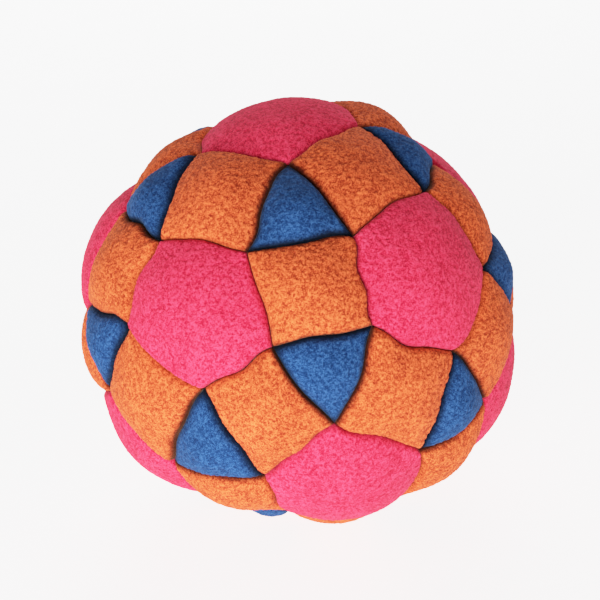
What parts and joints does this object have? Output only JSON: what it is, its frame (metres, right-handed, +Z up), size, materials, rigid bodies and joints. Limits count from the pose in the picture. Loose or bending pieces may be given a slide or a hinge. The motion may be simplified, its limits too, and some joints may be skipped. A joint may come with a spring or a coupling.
{
  "type": "juggling ball",
  "caption": "Round hand-sewn juggling bag of small puffed suede panels in pink, orange and blue, loosely filled with steel shot that rolls inside.",
  "frame": {"origin": "middle of the flat patch that the ball rests on, which is the middle of the lowest pentagon", "axes": "+Z up through the middle of the highest pentagon, a fivefold axis of the panel pattern; +Y passes over the middle of one pentagon of the upper ring"},
  "size_m": [0.0568, 0.0566, 0.0544],
  "materials": {
    "pink_suede": "short-nap synthetic suede, matt",
    "orange_suede": "short-nap synthetic suede, matt",
    "blue_suede": "short-nap synthetic suede, matt",
    "base_suede": "the pink pentagon and five orange squares that the ball rests on, short-nap synthetic suede, matt",
    "thread": "waxed polyester sewing thread",
    "steel_shot": "tumbled plain steel, dull shine"
  },
  "bodies": {
    "shell": {"base_rosette": "base_suede", "blue_base_1": "blue_suede", "blue_base_2": "blue_suede", "blue_base_3": "blue_suede", "blue_base_4": "blue_suede", "blue_base_5": "blue_suede", "blue_crown_1": "blue_suede", "blue_crown_2": "blue_suede", "blue_crown_3": "blue_suede", "blue_crown_4": "blue_suede", "blue_crown_5": "blue_suede", "blue_lower_girdle_1": "blue_suede", "blue_lower_girdle_2": "blue_suede", "blue_lower_girdle_3": "blue_suede", "blue_lower_girdle_4": "blue_suede", "blue_lower_girdle_5": "blue_suede", "blue_upper_girdle_1": "blue_suede", "blue_upper_girdle_2": "blue_suede", "blue_upper_girdle_3": "blue_suede", "blue_upper_girdle_4": "blue_suede", "blue_upper_girdle_5": "blue_suede", "closing_knot": "thread", "orange_crown_1": "orange_suede", "orange_crown_2": "orange_suede", "orange_crown_3": "orange_suede", "orange_crown_4": "orange_suede", "orange_crown_5": "orange_suede", "orange_girdle_1": "orange_suede", "orange_girdle_10": "orange_suede", "orange_girdle_2": "orange_suede", "orange_girdle_3": "orange_suede", "orange_girdle_4": "orange_suede", "orange_girdle_5": "orange_suede", "orange_girdle_6": "orange_suede", "orange_girdle_7": "orange_suede", "orange_girdle_8": "orange_suede", "orange_girdle_9": "orange_suede", "orange_lower_1": "orange_suede", "orange_lower_2": "orange_suede", "orange_lower_3": "orange_suede", "orange_lower_4": "orange_suede", "orange_lower_5": "orange_suede", "orange_upper_1": "orange_suede", "orange_upper_2": "orange_suede", "orange_upper_3": "orange_suede", "orange_upper_4": "orange_suede", "orange_upper_5": "orange_suede", "pink_crown_middle": "pink_suede", "pink_lower_1": "pink_suede", "pink_lower_2": "pink_suede", "pink_lower_3": "pink_suede", "pink_lower_4": "pink_suede", "pink_lower_5": "pink_suede", "pink_upper_1": "pink_suede", "pink_upper_2": "pink_suede", "pink_upper_3": "pink_suede", "pink_upper_4": "pink_suede", "pink_upper_5": "pink_suede", "seam_thread": "thread"},
    "shot": {"steel_shot": "steel_shot"}
  },
  "joints": [
    {"name": "shot_roll", "type": "hinge", "parent": "shell", "child": "shot", "pos_m": [0, 0, 0.02687], "axis": [0, 1, 0], "continuous": true}
  ]
}
